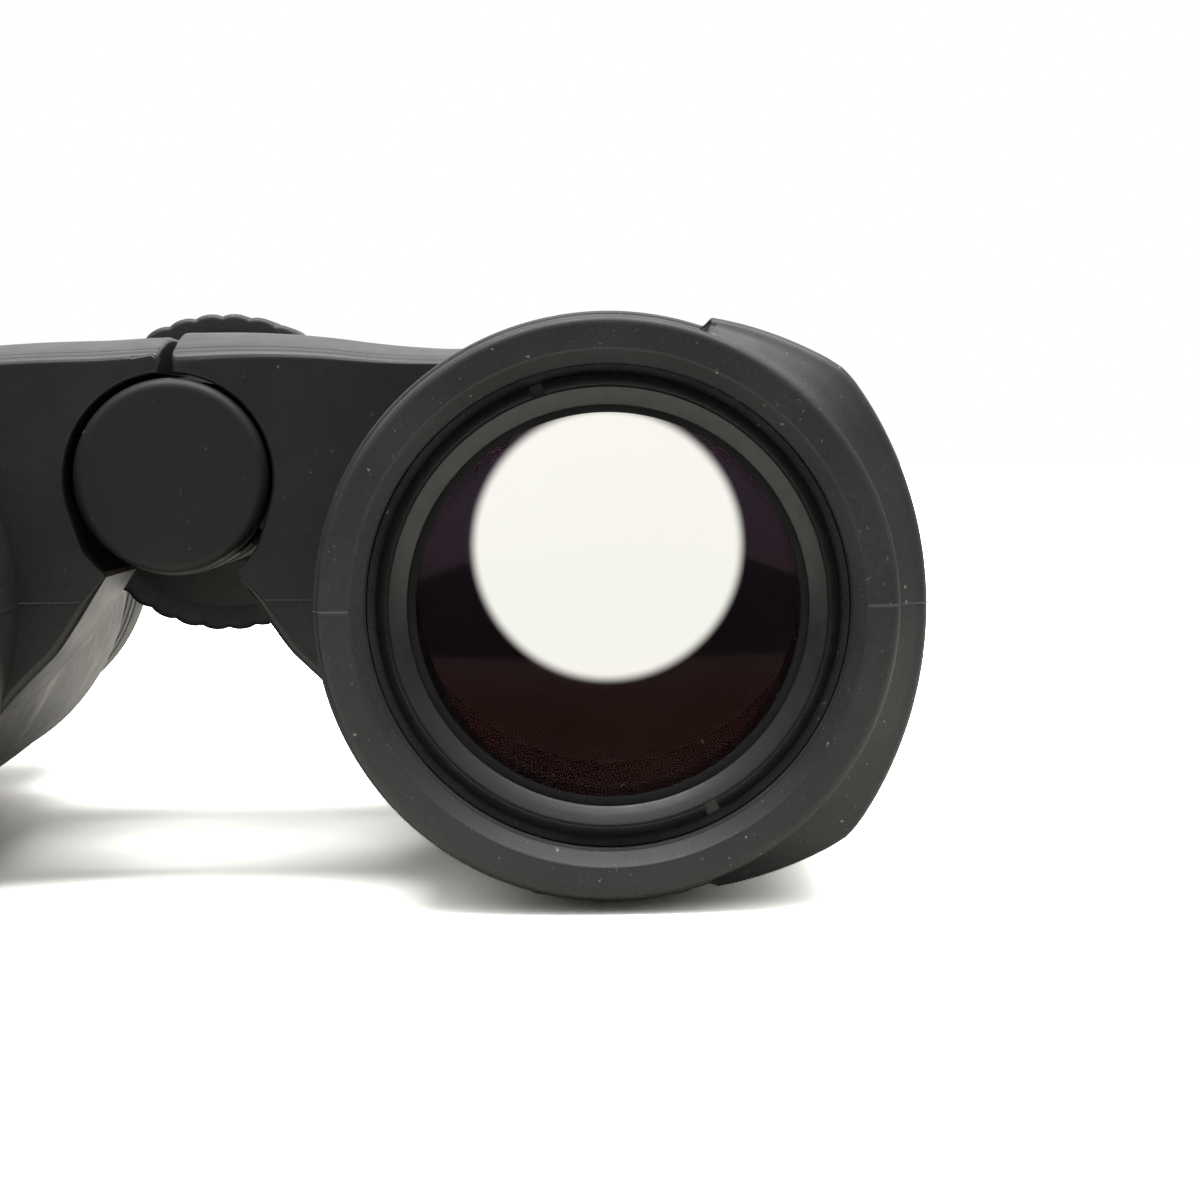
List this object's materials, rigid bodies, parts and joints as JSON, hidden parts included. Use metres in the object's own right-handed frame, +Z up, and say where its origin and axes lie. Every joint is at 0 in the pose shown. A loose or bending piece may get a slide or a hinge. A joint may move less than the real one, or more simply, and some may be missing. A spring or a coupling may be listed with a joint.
{
  "type": "binoculars",
  "caption": "Compact roof-prism binoculars with rubber armour, a centre hinge, a focus wheel behind the front bridge and twist-up eyecups.",
  "frame": {"origin": "bottom centre of the bounding box: on the table, under the hinge, half-way along the barrels", "axes": "+X towards the right barrel as seen from the objectives, +Y from the objectives to the eyepieces along the barrels, +Z up"},
  "size_m": [0.1226, 0.118, 0.0497],
  "materials": {
    "rubber_armour": "matte, finely grained",
    "body_paint": "satin black paint on die-cast light alloy",
    "black_anodised": "satin black anodised",
    "coated_lens": "polished, anti-reflection coated",
    "prism_glass": "polished",
    "seal_rubber": "matte",
    "eyecup_rubber": "matte",
    "wheel_rubber": "matte",
    "black_plastic": "matte",
    "cap_plastic": "matte, finely grained",
    "brass": "turned",
    "steel": "turned"
  },
  "bodies": {
    "right_half": {"armour_right": "rubber_armour", "housing_right": "body_paint", "objective_ring_right": "black_anodised", "objective_crown_right": "coated_lens", "objective_flint_right": "coated_lens", "objective_seal_right": "seal_rubber", "prism_cage_right": "black_plastic", "prism_half_penta_right": "prism_glass", "prism_schmidt_right": "prism_glass", "eyepiece_tube_right": "black_anodised", "eye_lens_right": "coated_lens", "strap_lug_right": "black_anodised", "hinge_shaft": "steel", "hinge_cap_front": "cap_plastic", "hinge_cap_rear": "cap_plastic", "hinge_nut": "steel"},
    "left_half": {"armour_left": "rubber_armour", "housing_left": "body_paint", "objective_ring_left": "black_anodised", "objective_crown_left": "coated_lens", "objective_flint_left": "coated_lens", "objective_seal_left": "seal_rubber", "prism_cage_left": "black_plastic", "prism_half_penta_left": "prism_glass", "prism_schmidt_left": "prism_glass", "eyepiece_tube_left": "black_anodised", "field_cell_left": "black_plastic", "field_lens_left": "coated_lens", "eye_lens_left": "coated_lens", "strap_lug_left": "black_anodised", "hinge_bush_front": "brass", "hinge_bush_rear": "brass", "eyepiece_collar": "black_plastic"},
    "focus_wheel": {"focus_wheel_core": "black_plastic", "focus_wheel_grip": "wheel_rubber", "focus_sleeve": "brass"},
    "focus_carriage": {"focus_carriage": "brass"},
    "focus_cell_right": {"focus_cell_right": "black_plastic", "focus_lens_right": "coated_lens"},
    "focus_cell_left": {"focus_cell_left": "black_plastic", "focus_lens_left": "coated_lens"},
    "diopter_ring": {"diopter_ring": "black_plastic"},
    "field_cell_right": {"field_cell_right": "black_plastic", "field_lens_right": "coated_lens"},
    "eyecup_guide_right": {"eyecup_guide_right": "black_plastic"},
    "eyecup_right": {"eyecup_right": "eyecup_rubber"},
    "eyecup_guide_left": {"eyecup_guide_left": "black_plastic"},
    "eyecup_left": {"eyecup_left": "eyecup_rubber"}
  },
  "joints": [
    {"name": "fold", "type": "hinge", "parent": "right_half", "child": "left_half", "pos_m": [0, 0, 0.0347], "axis": [0, -1, 0], "range_deg": [-3.5, 50]},
    {"name": "focus_turn", "type": "hinge", "parent": "right_half", "child": "focus_wheel", "pos_m": [0, 0, 0.0347], "axis": [0, -1, 0], "range_deg": [-180, 180]},
    {"name": "carriage_slide", "type": "slide", "parent": "right_half", "child": "focus_carriage", "axis": [0, 1, 0], "range_m": [-0.0015, 0.0015]},
    {"name": "focus_cell_right_slide", "type": "slide", "parent": "right_half", "child": "focus_cell_right", "axis": [0, 1, 0], "range_m": [-0.0015, 0.0015]},
    {"name": "focus_cell_left_slide", "type": "slide", "parent": "left_half", "child": "focus_cell_left", "axis": [0, 1, 0], "range_m": [-0.0015, 0.0015]},
    {"name": "diopter_turn", "type": "hinge", "parent": "right_half", "child": "diopter_ring", "pos_m": [0.0361, 0, 0.0242], "axis": [0, -1, 0], "range_deg": [-35, 35]},
    {"name": "field_cell_right_slide", "type": "slide", "parent": "right_half", "child": "field_cell_right", "axis": [0, 1, 0], "range_m": [-0.0008, 0.0008]},
    {"name": "eyecup_twist_right", "type": "hinge", "parent": "right_half", "child": "eyecup_guide_right", "pos_m": [0.0361, 0, 0.0242], "axis": [0, -1, 0], "range_deg": [0, 100]},
    {"name": "eyecup_rise_right", "type": "slide", "parent": "eyecup_guide_right", "child": "eyecup_right", "axis": [0, 1, 0], "range_m": [0, 0.008]},
    {"name": "eyecup_twist_left", "type": "hinge", "parent": "left_half", "child": "eyecup_guide_left", "pos_m": [-0.0361, 0, 0.0242], "axis": [0, -1, 0], "range_deg": [0, 100]},
    {"name": "eyecup_rise_left", "type": "slide", "parent": "eyecup_guide_left", "child": "eyecup_left", "axis": [0, 1, 0], "range_m": [0, 0.008]}
  ],
  "couplings": [
    {"joint": "carriage_slide", "follows": "focus_turn", "m_per_rad": 0.000477},
    {"joint": "focus_cell_right_slide", "follows": "focus_turn", "m_per_rad": 0.000477},
    {"joint": "focus_cell_left_slide", "follows": "focus_turn", "m_per_rad": 0.000477},
    {"joint": "field_cell_right_slide", "follows": "diopter_turn", "m_per_rad": 0.0013},
    {"joint": "eyecup_rise_right", "follows": "eyecup_twist_right", "m_per_rad": 0.00458},
    {"joint": "eyecup_rise_left", "follows": "eyecup_twist_left", "m_per_rad": 0.00458}
  ]
}
